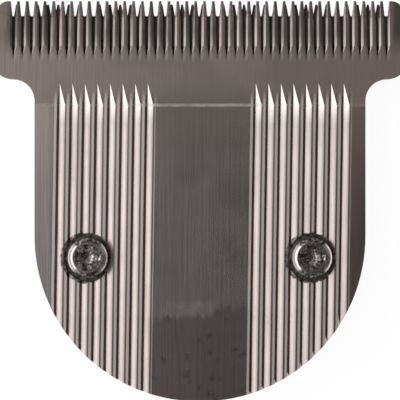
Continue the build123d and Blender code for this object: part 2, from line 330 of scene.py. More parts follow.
class SurfaceEffects:
    """Effects that several finishes share, each built once as a node group."""

    @cached_property
    def grinding_lines(self) -> Group:
        """Long fine lines left by grinding or rolling, from 0 in a line to 1 beside it.

        Returns:
            The group.
        """
        sheet = GroupSheet("grinding_lines", ("Turn", "Lines Per mm", "Run mm"), ("Lines",))
        turned = sheet.add("ShaderNodeVectorRotate", rotation_type="Z_AXIS")
        sheet.fill(turned, Vector=sheet.position(), Angle=sheet.entry["Turn"])
        across = sheet.math("DIVIDE", sheet.entry["Lines Per mm"], MM)
        along = sheet.math("DIVIDE", 1 / MM, sheet.entry["Run mm"])
        stretched = sheet.add("ShaderNodeVectorMath", operation="MULTIPLY")
        sheet.feed(stretched.inputs[0], turned.outputs[0])
        sheet.feed(stretched.inputs[1], sheet.vector(across, along, along))
        sheet.fill(sheet.exit, Lines=sheet.noise(stretched.outputs[0], 1.0, LINE_NOISE))
        return sheet.tree

    @cached_property
    def patches(self) -> Group:
        """Cloudy stains and tone changes, from 0 to 1.

        Returns:
            The group.
        """
        sheet = GroupSheet("patches", ("Patch mm",), ("Patches",))
        scale = sheet.math("DIVIDE", 1 / MM, sheet.entry["Patch mm"])
        sheet.fill(sheet.exit, Patches=sheet.noise(sheet.position(), scale, PATCH_NOISE))
        return sheet.tree

    @cached_property
    def band(self) -> Group:
        """Soft stripe where a value lies near its centre: 1 in the stripe and 0 outside.

        Returns:
            The group.
        """
        sheet = GroupSheet("band", ("Value", "Centre", "Half Width", "Softness"), ("Mask",))
        offset = sheet.math("SUBTRACT", sheet.entry["Value"], sheet.entry["Centre"])
        past = sheet.math("SUBTRACT", sheet.math("ABSOLUTE", offset), sheet.entry["Half Width"])
        share = sheet.math("DIVIDE", past, sheet.entry["Softness"])
        sheet.fill(sheet.exit, Mask=sheet.fall(share, 0.0, 1.0))
        return sheet.tree

    @cached_property
    def screw_axis(self) -> Group:
        """Distance from the nearer screw's axis, and side: 1 beside the axis and 0 before or behind it.

        Returns:
            The group.
        """
        sheet = GroupSheet("screw_axis", ("Half Spacing", "Shift X", "Shift Y"), ("Radius", "Side"))
        x, y, _ = sheet.axes(sheet.position())
        axis_x = sheet.math("MULTIPLY", sheet.math("SIGN", x), sheet.entry["Half Spacing"])
        axis_x = sheet.math("ADD", axis_x, sheet.entry["Shift X"])
        across = sheet.math("SUBTRACT", x, axis_x)
        along = sheet.math("SUBTRACT", y, sheet.entry["Shift Y"])
        square = sheet.math("MULTIPLY_ADD", across, across, sheet.math("MULTIPLY", along, along))
        radius = sheet.math("SQRT", square)
        side = sheet.math("DIVIDE", sheet.math("ABSOLUTE", across), radius)
        sheet.fill(sheet.exit, Radius=radius, Side=side)
        return sheet.tree

    @cached_property
    def spark_texture(self) -> Group:
        """Fine pebbled skin of a moulded piece.

        Returns:
            The group.
        """
        sheet = GroupSheet("spark_texture", ("Grains Per mm",), ("Height", "Tone"))
        scale = sheet.math("DIVIDE", sheet.entry["Grains Per mm"], MM)
        place = sheet.position()
        pebbles = sheet.noise(place, scale, PEBBLE_NOISE)
        tone = sheet.noise(place, sheet.math("DIVIDE", scale, PEBBLES_PER_TONE), TONE_NOISE)
        sheet.fill(sheet.exit, Height=pebbles, Tone=tone)
        return sheet.tree

    def lines(
        self, sheet: NodeSheet, per_mm: float, run_mm: float, grain: Grain = Grain.ALONG_Y
    ) -> Socket:
        """Draws grinding lines along a grain."""
        drawn = sheet.place(self.grinding_lines, Turn=grain.value, Lines_Per_mm=per_mm, Run_mm=run_mm)
        return drawn["Lines"]

    def spots(self, sheet: NodeSheet, size_mm: float) -> Socket:
        """Draws cloudy spots of one size."""
        return sheet.place(self.patches, Patch_mm=size_mm)["Patches"]

    def stripe(
        self, sheet: NodeSheet, value: Feed, centre: float, half_width: float, soft: float
    ) -> Socket:
        """Draws a soft stripe where a value lies near its centre."""
        drawn = sheet.place(self.band, Value=value, Centre=centre, Half_Width=half_width, Softness=soft)
        return drawn["Mask"]


@dataclass
class Surface:
    """Sockets that a finish hands to its Principled shader."""

    colour: Socket
    roughness: Socket
    height: Socket


@dataclass(frozen=True)
class Finish:
    """Common sizes of a finish, and the Principled shader that carries it."""

    name: str
    tint: Colour
    shade: Colour
    roughness: float
    roughness_spread: float
    relief: float
    metallic: float = 0.0
    anisotropy: float = 0.0

    def surface(self, sheet: NodeSheet, effects: SurfaceEffects) -> Surface:
        """Builds the pattern of the finish; each kind of finish has its own."""
        raise NotImplementedError

    def extras(self, sheet: NodeSheet, shader: Node) -> None:
        """Sets what only some finishes have; a plain one has nothing more."""

    def material(self, effects: SurfaceEffects) -> bpy.types.Material:
        """Makes the material.

        Args:
            effects: the shared node groups.

        Returns:
            The finished material.
        """
        made = bpy.data.materials.new(self.name)
        sheet = NodeSheet.empty(made)
        surface = self.surface(sheet, effects)
        bump = sheet.add("ShaderNodeBump")
        sheet.fill(bump, Strength=1.0, Distance=self.relief, Height=surface.height)
        shader = sheet.fill(
            sheet.add("ShaderNodeBsdfPrincipled"),
            Base_Color=surface.colour,
            Metallic=self.metallic,
            Roughness=surface.roughness,
            Anisotropic=self.anisotropy,
            Normal=bump.outputs["Normal"],
        )
        self.extras(sheet, shader)
        sheet.fill(sheet.add("ShaderNodeOutputMaterial"), Surface=shader.outputs["BSDF"])
        return made


@dataclass(frozen=True)
class GroundSteel(Finish):
    """Steel with grinding or rolling lines in two sizes, the wide ones fewer and longer."""

    metallic: float = 1.0
    grain: Grain = Grain.ALONG_Y
    lines_per_mm: float = 4.0
    run_mm: float = 8.0
    patch_mm: float = 5.0
    wide_spacing: float = 4.0
    wide_run: float = 3.0
    fine_share: float = 0.6
    lines_share: float = 0.7

    def surface(self, sheet: NodeSheet, effects: SurfaceEffects) -> Surface:
        """Builds the lines over cloudy patches.

        Args:
            sheet: the material's nodes.
            effects: the shared node groups.

        Returns:
            Sockets for colour, roughness and height.
        """
        fine = effects.lines(sheet, self.lines_per_mm, self.run_mm, self.grain)
        wide_per_mm = self.lines_per_mm / self.wide_spacing
        wide = effects.lines(sheet, wide_per_mm, self.run_mm * self.wide_run, self.grain)
        lines = sheet.weigh(fine, wide, self.fine_share)
        tone = sheet.weigh(lines, effects.spots(sheet, self.patch_mm), self.lines_share)
        spread = sheet.math("MULTIPLY", tone, self.roughness_spread)
        return Surface(
            colour=sheet.blend(tone, self.shade, self.tint),
            roughness=sheet.math("SUBTRACT", self.roughness + self.roughness_spread / 2, spread),
            height=lines,
        )

    def extras(self, sheet: NodeSheet, shader: Node) -> None:
        """Stretches the gloss across the lines."""
        across = (1.0, 0.0, 0.0) if self.grain is Grain.ALONG_Y else (0.0, 1.0, 0.0)
        sheet.fill(shader, Tangent=sheet.vector(*across))


@dataclass(frozen=True)
class CombLayout:
    """Places and sizes of the marks on the comb blade, and how far they fade, each share from 0 to 1."""

    # Ground face, bevel and the plain band between the panels
    bevel_y: float = 15.25 * MM
    bevel_slope: float = 1.35 / 10.5
    bevel_line: float = 0.14 * MM
    bevel_spot_mm: float = 0.5
    bevel_least: float = 0.4
    bevel_beside: float = 0.3
    band_half: float = 5.1 * MM
    band_fade: float = 2.55 * MM
    cloud_mm: float = 11.0
    cloud_start: float = 0.45
    cloud_share: float = 0.5

    # Ribbed panels and the margins outside them
    groove_depth: float = 0.28 * MM
    groove_pitch: float = 1.258 * MM
    groove_count: int = 8
    groove_inner: float = 5.41 * MM
    groove_offset: float = -0.08 * MM
    groove_lean: float = math.radians(0.86)
    steep_side: float = 0.25 * MM
    gentle_side: float = 0.58 * MM
    rub_width: float = 0.3 * MM
    rub_full: float = 0.075 * MM
    crest_fade: float = 0.26 * MM
    panel_top_y: float = 17.0 * MM
    run_out: float = 2.18 * MM
    run_out_full: float = 0.545 * MM
    margin_x: float = 14.9 * MM
    margin_fade: float = 0.3 * MM
    margin_top_fade: float = 0.5 * MM
    right_shade: float = 0.4

    # Dirt and painted shade on the screw seats
    seat_mark_radius: float = 2.56 * MM
    seat_mark_fade: float = 0.16 * MM
    seat_shade_shift_x: float = -0.2 * MM
    seat_mark_shift_y: float = -0.03 * MM
    seat_spot_mm: float = 0.4
    seat_spot_least: float = 0.6

    # Tail, with its painted dark reflection and dirt specks in it, and a painted sheen before it
    tail_edge_y: float = -5.35 * MM
    tail_edge_rise: float = 0.9 * MM
    tail_rise_x: float = 3.0 * MM
    tail_drag: float = 0.8 * MM
    tail_lines_per_mm: float = 2.5
    tail_before: float = 0.3 * MM
    tail_full: float = 0.6 * MM
    tail_share: float = 0.75
    tail_beside: float = 0.25
    tail_spot_mm: float = 0.9
    speck_start: float = 0.9
    speck_share: float = 0.8
    sheen_rise: float = 0.6 * MM
    sheen_half_height: float = 0.45 * MM
    sheen_x: float = -1.2 * MM
    sheen_half_width: float = 1.8 * MM
    sheen_fade: float = 1.8 * MM
    sheen_least: float = 0.5

    # Teeth, their points, and the painted light and shade that run on from the slots
    row_half: float = 18.8 * MM
    slot_pitch: float = 0.891 * MM
    line_run_mm: float = 12.0
    tooth_lines_per_mm: float = 0.8
    root_y: float = 20.2 * MM
    root_fade: float = 0.5 * MM
    root_share: float = 0.2
    tooth_fade: float = 2.6 * MM
    tooth_spread: Pair = (0.1, 0.9)
    tooth_shares: Pair = (0.3, 0.98)
    streak_low_y: float = 19.4 * MM
    streak_high_y: float = 20.9 * MM
    streak_rise: float = 1.0 * MM
    streak_fall: float = 0.5 * MM
    streak_dark_x: float = -0.08 * MM
    streak_light_x: float = 0.2 * MM
    streak_half: float = 0.06 * MM
    streak_soft: float = 0.12 * MM
    streak_least: float = 0.5
    point_y: float = 24.1 * MM
    point_fade: float = 0.5 * MM
    point_spot_mm: float = 0.4
    point_share: float = 0.5
    point_beside: float = 0.4

    @property
    def groove_reach(self) -> float:
        """Distance from the first groove of a panel to its last."""
        return (self.groove_count - 1) * self.groove_pitch


class CombMarks(NodeSheet):
    """Masks of the worn and stained places of the comb blade and of the light and shade painted on it, in
    the nodes of its material.
    """

    def __init__(self, tree: bpy.types.NodeTree, effects: SurfaceEffects, plan: CombLayout) -> None:
        """Reads the place on the blade, once for all masks.

        Args:
            tree: the material's nodes.
            effects: the shared node groups.
            plan: places and sizes of the marks.
        """
        super().__init__(tree)
        self.effects = effects
        self.plan = plan
        self.x, self.y, self.z = self.axes(self.position())
        self.beside = self.math("ABSOLUTE", self.x)
        self.past_bevel = self.math("MAXIMUM", self.math("SUBTRACT", self.y, plan.bevel_y), 0.0)
        self.uneven = effects.lines(self, plan.tooth_lines_per_mm, plan.line_run_mm)

    def face(self) -> Socket:
        """Marks the ground face and its bevel, down to the bottom of the grooves.

        Returns:
            The mask.
        """
        plan = self.plan
        bottom = FACE_Z - plan.groove_depth
        level = self.math("MULTIPLY_ADD", self.past_bevel, -plan.bevel_slope, bottom)
        above = self.math("SUBTRACT", self.z, level)
        return self.remap(above, -plan.bevel_line, -plan.bevel_line / 2)

    def cloud(self) -> Socket:
        """Marks faint olive clouds, such as oil leaves on steel; the tail has none.

        Returns:
            The mask.
        """
        plan = self.plan
        wide = self.effects.spots(self, plan.cloud_mm)
        before = self.remap(self.y, plan.tail_edge_y, 0.0)
        return self.product(before, self.remap(wide, plan.cloud_start, 1.0, 0.0, plan.cloud_share))

    def dark_teeth(self) -> Socket:
        """Marks painted shade on the teeth, deeper towards the points and darker on some teeth than others.

        Returns:
            The mask.
        """
        plan = self.plan
        start = self.remap(self.y, plan.root_y, plan.root_y + plan.root_fade)
        depth = self.remap(self.y, plan.root_y, plan.root_y + plan.tooth_fade, plan.root_share, 1.0)
        return self.product(depth, start, self.remap(self.uneven, *plan.tooth_spread, *plan.tooth_shares))

    def points(self) -> Socket:
        """Marks the stained tooth points, which are paler at the ends of the row.

        Returns:
            The mask.
        """
        plan = self.plan
        spots = self.effects.spots(self, plan.point_spot_mm)
        ragged = self.math("MULTIPLY_ADD", spots, plan.point_fade, self.y)
        height = self.remap(ragged, plan.point_y, plan.point_y + plan.point_fade)
        inner = self.fall(self.beside, plan.row_half, plan.row_half + plan.point_fade, plan.point_beside)
        return self.product(height, inner, spots, plan.point_share)

    def bevel_line(self) -> Socket:
        """Marks a painted highlight along the edge where the bevel starts, which is faint beside the middle
        band.

        Returns:
            The mask.
        """
        plan = self.plan
        line = self.effects.stripe(self, self.y, plan.bevel_y, plan.bevel_line / 2, plan.bevel_line)
        inner = self.fall(self.beside, plan.band_half, plan.band_half + plan.band_fade, plan.bevel_beside)
        spots = self.effects.spots(self, plan.bevel_spot_mm)
        return self.product(line, inner, self.lift(spots, plan.bevel_least))

    def ribs(self) -> list[Socket]:
        """Marks the worn edges and the painted highlights and shade of both ribbed panels.

        Returns:
            The masks of a panel, for both panels together.
        """
        plan = self.plan
        shifted = self.math("SUBTRACT", self.x, plan.groove_offset)
        leaned = self.math("MULTIPLY", self.y, -math.sin(plan.groove_lean))
        across = self.math("MULTIPLY_ADD", shifted, math.cos(plan.groove_lean), leaned)
        firsts = (plan.groove_inner, -plan.groove_inner - plan.groove_reach)
        panels = [self.panel(across, first) for first in firsts]
        return [self.math("MAXIMUM", *pair) for pair in zip(*panels)]

    def panel(self, across: Socket, first: float) -> tuple[Socket, Socket, Socket]:
        """Marks the worn edges and the painted highlights and shade of one ribbed panel.

        Args:
            across: place across the grooves.
            first: place of the panel's first groove.

        Returns:
            Masks of the worn edges beside the steep flanks, which carry a painted highlight, of the painted
            shade on the crests of the gentle flanks, and of the painted highlights on the run-outs of the
            gentle flanks on the bevel.
        """
        plan = self.plan
        edge = plan.groove_pitch - plan.steep_side
        crest = plan.gentle_side
        step = self.math("FLOORED_MODULO", self.math("SUBTRACT", across, first), plan.groove_pitch)
        left = first - plan.steep_side - plan.rub_width
        right = first + plan.groove_reach + crest + plan.crest_fade
        inside = self.math("COMPARE", across, (left + right) / 2, (right - left) / 2)
        low = self.product(inside, self.fall(self.y, plan.bevel_y, plan.panel_top_y))
        # worn edge beside the steep flank, which also gets a painted highlight
        highlight_and_wear = self.remap(step, edge - plan.rub_width, edge - plan.rub_full)
        highlight_and_wear = self.product(highlight_and_wear, self.math("LESS_THAN", step, edge), low)
        # painted shade that darkens the gentle flank towards its crest
        rising = self.remap(step, crest - plan.crest_fade, crest)
        falling = self.fall(step, crest, crest + plan.crest_fade / 2)
        # painted highlight on the gentle flanks where they run out on the bevel
        high = self.remap(self.y, plan.bevel_y - plan.run_out, plan.bevel_y + plan.run_out_full)
        width = self.math("MULTIPLY_ADD", self.past_bevel, -crest / plan.run_out, crest)
        flank = self.math("LESS_THAN", step, width)
        return highlight_and_wear, self.product(rising, falling, low), self.product(flank, inside, high)

    def margin_light_and_shade(self) -> tuple[Socket, Socket]:
        """Marks painted light on the plain margin left of the ribbed panels, and painted shade on the right
        one.

        Returns:
            Masks of the left margin, painted lighter, and of the right one, painted darker together with
            painted shade that grows towards the right of the head.
        """
        plan = self.plan
        below = self.fall(self.y, plan.bevel_y - plan.margin_top_fade, plan.bevel_y + plan.margin_top_fade)
        masks = []
        for side in (-1.0, 1.0):
            out = self.math("MULTIPLY", self.x, side)
            margin = self.remap(out, plan.margin_x - plan.margin_fade, plan.margin_x + plan.margin_fade)
            masks.append(self.product(margin, below))
        left, right = masks
        # painted shade, growing from the middle to the right end of the head
        shade = self.remap(self.x, 0.0, plan.row_half, 0.0, plan.right_shade)
        return left, self.math("MAXIMUM", right, shade)

    def tail(self) -> tuple[Socket, Socket]:
        """Marks a painted dark reflection on the tail, with dirt specks in it, and a painted sheen before
        it.

        Returns:
            Masks of the tail's painted dark reflection with its specks, and of the painted sheen.
        """
        plan = self.plan
        edge_high = plan.tail_edge_y + plan.tail_edge_rise
        edge = self.remap(self.x, 0.0, plan.tail_rise_x, plan.tail_edge_y, edge_high)
        drag = self.effects.lines(self, plan.tail_lines_per_mm, plan.line_run_mm)
        edge = self.math("MULTIPLY_ADD", drag, -plan.tail_drag, edge)
        below = self.math("SUBTRACT", edge, self.y)
        inner = self.fall(self.beside, plan.band_half, plan.band_half + plan.rub_width, plan.tail_beside)
        # painted dark reflection, deepening into the tail
        depth = self.remap(below, -plan.tail_before, plan.tail_full, 0.0, plan.tail_share)
        dark = self.product(inner, depth)
        spots = self.effects.spots(self, plan.tail_spot_mm)
        specks = self.product(dark, self.remap(spots, plan.speck_start, 1.0))
        dark = self.math("MULTIPLY_ADD", specks, plan.speck_share, dark)
        # painted sheen before the tail
        half_height = plan.sheen_half_height
        rows = self.effects.stripe(self, below, -plan.sheen_rise, half_height, half_height)
        columns = self.effects.stripe(self, self.x, plan.sheen_x, plan.sheen_half_width, plan.sheen_fade)
        return dark, self.product(rows, columns, self.lift(spots, plan.sheen_least))

    def streaks(self) -> list[Socket]:
        """Marks painted shade and painted highlights that run on from the slots' ends, dark on the left of
        each slot and light on the right.

        Returns:
            Masks of the painted shade and of the painted highlights.
        """
        plan = self.plan
        middle = plan.slot_pitch / 2
        step = self.math("FLOORED_MODULO", self.math("ADD", self.x, middle), plan.slot_pitch)
        start = self.remap(self.y, plan.streak_low_y, plan.streak_low_y + plan.streak_rise)
        end = self.fall(self.y, plan.streak_high_y, plan.streak_high_y + plan.streak_fall)
        inner = self.math("LESS_THAN", self.beside, plan.row_half + middle)
        place = self.product(start, end, inner, self.lift(self.uneven, plan.streak_least))
        masks = []
        # dark on the left of each slot end: painted shade; light on the right: painted highlight
        for shift in (plan.streak_dark_x, plan.streak_light_x):
            line = self.effects.stripe(self, step, middle + shift, plan.streak_half, plan.streak_soft)
            masks.append(self.product(line, place))
        return masks

    def seat_dirt_and_shade(self) -> Socket:
        """Marks dirt and painted shade on the seats of the screws, shifted to the left of them.

        Returns:
            The mask.
        """
        plan = self.plan
        # the shift to the left paints the shade that falls on the left of each seat
        radius = self.place(
            self.effects.screw_axis,
            Half_Spacing=SCREW_HALF_SPACING,
            Shift_X=plan.seat_shade_shift_x,
            Shift_Y=plan.seat_mark_shift_y,
        )["Radius"]
        spots = self.effects.spots(self, plan.seat_spot_mm)
        ragged = self.math("MULTIPLY_ADD", spots, -plan.seat_mark_fade, radius)
        seat = self.fall(ragged, plan.seat_mark_radius - plan.seat_mark_fade, plan.seat_mark_radius)
        return self.product(seat, self.lift(spots, plan.seat_spot_least))


@dataclass(frozen=True)
class CombSteel(GroundSteel):
    """Ground steel of the comb blade, with the colours and strengths of its marks and of the light and
    shade painted on it.
    """

    # Brighter steel for painted light, painted sheen and painted highlights, and for the worn rib edges
    highlight_and_wear: Colour = (0.8, 0.715, 0.695)
    # Darker steel for the painted shade on the right and the painted dark reflection on the tail, with its
    # dirt specks
    shade_and_dirt: Colour = (0.215, 0.152, 0.149)
    stain_and_shade: Colour = (0.06, 0.055, 0.047)
    olive: Colour = (0.4, 0.37, 0.338)
    shadow: Colour = (0.2, 0.172, 0.165)
    right_shade_share: float = 0.36
    tail_share: float = 0.5
    crest_shade_share: float = 0.6
    slot_shade_share: float = 0.6
    left_light_share: float = 0.75
    painted_sheen_share: float = 0.5
    slot_highlight_share: float = 0.9
    run_out_highlight_share: float = 0.9
    highlight_and_wear_share: float = 0.8
    rub_roughness: float = 0.2
    stain_roughness: float = 0.15
    burr: float = 4.0
    layout: CombLayout = CombLayout()

    def surface(self, sheet: NodeSheet, effects: SurfaceEffects) -> Surface:
        """Adds wear, stains, painted light and painted shade to the ground steel.

        Args:
            sheet: the material's nodes.
            effects: the shared node groups.

        Returns:
            Sockets for colour, roughness and height.
        """
        plain = super().surface(sheet, effects)
        masks = CombMarks(sheet.tree, effects, self.layout)
        face = masks.face()
        rib_edge_wear_and_highlight, crest_shade, run_out_highlights = masks.ribs()
        left, right = masks.margin_light_and_shade()
        tail, painted_sheen = masks.tail()
        slot_shade, slot_highlight = masks.streaks()
        # worn rib edges and the bevel edge, both with a painted highlight and both made rougher
        edge_wear_and_highlight = sheet.math("MAXIMUM", masks.bevel_line(), rib_edge_wear_and_highlight)
        # stains on the tooth points, and dirt with painted shade on the screw seats
        stain_and_shade = sheet.math("MAXIMUM", masks.points(), masks.seat_dirt_and_shade())
        colour = sheet.blend(masks.cloud(), plain.colour, self.olive)
        # painted shade on the teeth
        colour = sheet.blend(masks.dark_teeth(), colour, self.shadow)
        # Painted shade: the right margin, the crests and the dark side of each slot end. Painted dark
        # reflection with dirt specks: the tail. Painted light, sheen and highlights: the left margin, the
        # sheen before the tail, the light side of each slot end, the run-outs, the bevel edge and the worn
        # rib edges.
        marks = (
            (right, self.right_shade_share, self.shade_and_dirt),
            (tail, self.tail_share, self.shade_and_dirt),
            (crest_shade, self.crest_shade_share, self.shadow),
            (slot_shade, self.slot_shade_share, self.shadow),
            (left, self.left_light_share, self.highlight_and_wear),
            (painted_sheen, self.painted_sheen_share, self.highlight_and_wear),
            (slot_highlight, self.slot_highlight_share, self.highlight_and_wear),
            (run_out_highlights, self.run_out_highlight_share, self.highlight_and_wear),
            (edge_wear_and_highlight, self.highlight_and_wear_share, self.highlight_and_wear),
        )
        for mask, share, tone in marks:
            colour = sheet.blend(sheet.product(mask, face, share), colour, tone)
        colour = sheet.blend(stain_and_shade, colour, self.stain_and_shade)
        roughness = sheet.math("MULTIPLY_ADD", edge_wear_and_highlight, self.rub_roughness, plain.roughness)
        roughness = sheet.math("MULTIPLY_ADD", stain_and_shade, self.stain_roughness, roughness)
        height = sheet.math("MULTIPLY_ADD", sheet.product(rib_edge_wear_and_highlight, face), self.burr, plain.height)
        return Surface(colour, roughness, height)


@dataclass(frozen=True)
class ScrewSteel(GroundSteel):
    """Plated screw steel, stained on its flat top and in its recess, with mottled painted shade before and
    behind on its crown.
    """

    stain_and_shade: Colour = (0.042, 0.034, 0.032)
    stain_mm: float = 0.28
    stain_spread: Pair = (0.25, 0.75)
    stain_share: float = 0.87
    stain_roughness: float = 0.2
    stain_relief: float = 3.0
    flat_radius: float = 1.45 * MM
    edge_fade: float = 0.15 * MM
    crown_share: float = 0.12
    crown_shade: float = 0.97
    crown_unshaded_side: Pair = (0.6, 0.85)
    mottle_spread: Pair = (0.1, 0.7)
    mottle_shares: Pair = (0.6, 1.0)

    def surface(self, sheet: NodeSheet, effects: SurfaceEffects) -> Surface:
        """Adds the stains and the painted shade to the plated steel.

        Args:
            sheet: the material's nodes.
            effects: the shared node groups.

        Returns:
            Sockets for colour, roughness and height.
        """
        plain = super().surface(sheet, effects)
        axis = sheet.place(effects.screw_axis, Half_Spacing=SCREW_HALF_SPACING)
        edge = (self.flat_radius - self.edge_fade, self.flat_radius + self.edge_fade)
        spots = effects.spots(sheet, self.stain_mm)
        flat = sheet.fall(axis["Radius"], *edge, self.crown_share)
        flat = sheet.product(flat, sheet.remap(spots, *self.stain_spread, 0.0, self.stain_share))
        # painted shade on the crown before and behind the axis, mottled; the sides stay light
        crown = sheet.remap(axis["Radius"], *edge, 0.0, self.crown_shade)
        ends = sheet.fall(axis["Side"], *self.crown_unshaded_side)
        mottle = sheet.remap(spots, *self.mottle_spread, *self.mottle_shares)
        stain_and_shade_mask = sheet.math("MAXIMUM", flat, sheet.product(crown, ends, mottle))
        sunk = sheet.math("MULTIPLY", stain_and_shade_mask, self.stain_relief)
        return Surface(
            colour=sheet.blend(stain_and_shade_mask, plain.colour, self.stain_and_shade),
            roughness=sheet.math("MULTIPLY_ADD", stain_and_shade_mask, self.stain_roughness, plain.roughness),
            height=sheet.math("SUBTRACT", plain.height, sunk),
        )


@dataclass(frozen=True)
class MouldedPlastic(Finish):
    """Moulded plastic with a fine spark-eroded skin."""

    grains_per_mm: float = 6.0

    def surface(self, sheet: NodeSheet, effects: SurfaceEffects) -> Surface:
        """Builds the pebbled skin.

        Args:
            sheet: the material's nodes.
            effects: the shared node groups.

        Returns:
            Sockets for colour, roughness and height.
        """
        skin = sheet.place(effects.spark_texture, Grains_Per_mm=self.grains_per_mm)
        spread = sheet.math("MULTIPLY", skin["Tone"], self.roughness_spread)
        return Surface(
            colour=sheet.blend(skin["Tone"], self.shade, self.tint),
            roughness=sheet.math("ADD", self.roughness - self.roughness_spread / 2, spread),
            height=skin["Height"],
        )


COMB_STEEL = CombSteel(
    name="comb_ground_steel",
    tint=(0.64, 0.541, 0.523),
    shade=(0.5, 0.421, 0.407),
    roughness=0.24,
    roughness_spread=0.06,
    relief=0.003 * MM,
    anisotropy=0.5,
)
# Dark steel for the cutter
DARK_STEEL = GroundSteel(
    name="cutter_dark_steel",
    tint=(0.19, 0.172, 0.163),
    shade=(0.1, 0.09, 0.086),
    roughness=0.38,
    roughness_spread=0.12,
    relief=0.003 * MM,
    grain=Grain.ALONG_X,
    run_mm=4.0,
)
SPRING_STEEL = GroundSteel(
    name="spring_strip_steel",
    tint=(0.56, 0.56, 0.57),
    shade=(0.42, 0.42, 0.43),
    roughness=0.3,
    roughness_spread=0.1,
    relief=0.002 * MM,
    run_mm=10.0,
)
SCREW_STEEL = ScrewSteel(
    name="screw_nickel",
    tint=(0.92, 0.85, 0.825),
    shade=(0.72, 0.66, 0.64),
    roughness=0.17,
    roughness_spread=0.08,
    relief=0.002 * MM,
    lines_per_mm=3.0,
    run_mm=0.5,
    patch_mm=0.8,
)
BLACK_NYLON = MouldedPlastic(
    name="base_black_nylon",
    tint=(0.042, 0.042, 0.044),
    shade=(0.03, 0.03, 0.031),
    roughness=0.5,
    roughness_spread=0.12,
    relief=0.012 * MM,
)
ACETAL = MouldedPlastic(
    name="driver_natural_acetal",
    tint=(0.84, 0.83, 0.79),
    shade=(0.78, 0.765, 0.72),
    roughness=0.42,
    roughness_spread=0.1,
    relief=0.004 * MM,
    grains_per_mm=3.0,
)


class Bench:
    """Modelling steps that the pieces share."""

    MERGE_DISTANCE = 0.0005 * MM
    FLAT_ANGLE = math.radians(0.3)
    EDGE_ANGLE = math.radians(22)
    SMOOTH_ANGLE = math.radians(32)
    DOWNWARD = -0.9

    @staticmethod
    def clear() -> None:
        """Leaves edit mode and deselects everything."""
        if bpy.context.mode != "OBJECT":
            bpy.ops.object.mode_set(mode="OBJECT")
        bpy.ops.object.select_all(action="DESELECT")

    @staticmethod
    def take(piece: Piece) -> None:
        """Selects one piece alone, in object mode, and makes it active.

        Args:
            piece: the piece to take.
        """
        Bench.clear()
        piece.select_set(True)
        bpy.context.view_layer.objects.active = piece

    @staticmethod
    def open_merged(piece: Piece) -> None:
        """Opens one piece in edit mode with everything selected and its doubles merged.

        Args:
            piece: the piece to open.
        """
        Bench.take(piece)
        bpy.ops.object.mode_set(mode="EDIT")
        bpy.ops.mesh.select_all(action="SELECT")
        bpy.ops.mesh.remove_doubles(threshold=Bench.MERGE_DISTANCE)

    @staticmethod
    def open_underside(piece: Piece) -> None:
        """Opens one piece in edit mode with only its downward faces selected.

        Args:
            piece: the piece to open.
        """
        Bench.take(piece)
        bpy.ops.object.mode_set(mode="EDIT")
        bpy.ops.mesh.select_mode(type="FACE")
        bpy.ops.mesh.select_all(action="DESELECT")
        bpy.ops.object.mode_set(mode="OBJECT")
        for face in piece.data.polygons:
            face.select = face.normal.z < Bench.DOWNWARD
        bpy.ops.object.mode_set(mode="EDIT")

    @staticmethod
    def fix_place(piece: Piece) -> Piece:
        """Puts a piece's place, turn and scale into its mesh.

        Args:
            piece: the piece to fix.

        Returns:
            The same piece.
        """
        Bench.take(piece)
        bpy.ops.object.transform_apply(location=True, rotation=True, scale=True)
        return piece

    @staticmethod
    def combine(piece: Piece, other: Piece, operation: str) -> None:
        """Applies a boolean with another piece, which is then removed.

        Args:
            piece: what is kept.
            other: what is added or cut away.
            operation: UNION or DIFFERENCE.
        """
        Bench.take(piece)
        step = piece.modifiers.new("combine", "BOOLEAN")
        step.operation = operation
        step.solver = "EXACT"
        step.object = other
        bpy.ops.object.modifier_apply(modifier=step.name)
        bpy.data.objects.remove(other)

    @staticmethod
    def settle(piece: Piece, angle: float) -> None:
        """Puts the piece's place into its mesh, closes its seams and smooths its shading.

        Args:
            piece: the finished piece.
            angle: edges sharper than this stay sharp, in radians.
        """
        Bench.open_merged(Bench.fix_place(piece))
        bpy.ops.mesh.normals_make_consistent(inside=False)
        Bench.shade(piece, angle)

    @staticmethod
    def shade(piece: Piece, angle: float) -> None:
        """Smooths a piece so that its large flat faces stay flat.

        Args:
            piece: the piece to shade.
            angle: edges sharper than this stay sharp, in radians.
        """
        Bench.take(piece)
        bpy.ops.object.shade_smooth_by_angle(angle=angle)
        step = piece.modifiers.new("weights", "WEIGHTED_NORMAL")
        step.keep_sharp = True
        step.use_face_influence = True
        bpy.ops.object.modifier_apply(modifier=step.name)

    @staticmethod
    def rounded_copy(node: str, name: str, width: float, segments: int) -> Piece:
        """Copies a node's solid and rounds its sharp edges a little.

        Args:
            node: the node to copy.
            name: the new piece's name.
            width: width of the rounding.
            segments: faces across the rounding.

        Returns:
            The new piece.
        """
        piece = bpy.data.objects.new(name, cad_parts[node].data.copy())
        bpy.context.scene.collection.objects.link(piece)
        Bench.take(piece)
        bpy.ops.mesh.customdata_custom_splitnormals_clear()
        Bench.open_merged(piece)
        bpy.ops.mesh.dissolve_limited(angle_limit=Bench.FLAT_ANGLE)
        Bench.take(piece)
        step = piece.modifiers.new("rounding", "BEVEL")
        step.width = width
        step.segments = segments
        step.limit_method = "ANGLE"
        step.angle_limit = Bench.EDGE_ANGLE
        step.face_strength_mode = "FSTR_ALL"
        bpy.ops.object.modifier_apply(modifier=step.name)
        Bench.shade(piece, Bench.SMOOTH_ANGLE)
        return piece


def hand_over(piece: Piece, node: str, body: Body, finish: bpy.types.Material) -> None:
    """Dresses a piece and puts it in place of a node.

    Args:
        piece: the finished piece.
        node: the node that it stands for.
        body: the body that it moves with.
        finish: its material.
    """
    piece.data.materials.clear()
    piece.data.materials.append(finish)
    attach(piece, body.value)
    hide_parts(node)


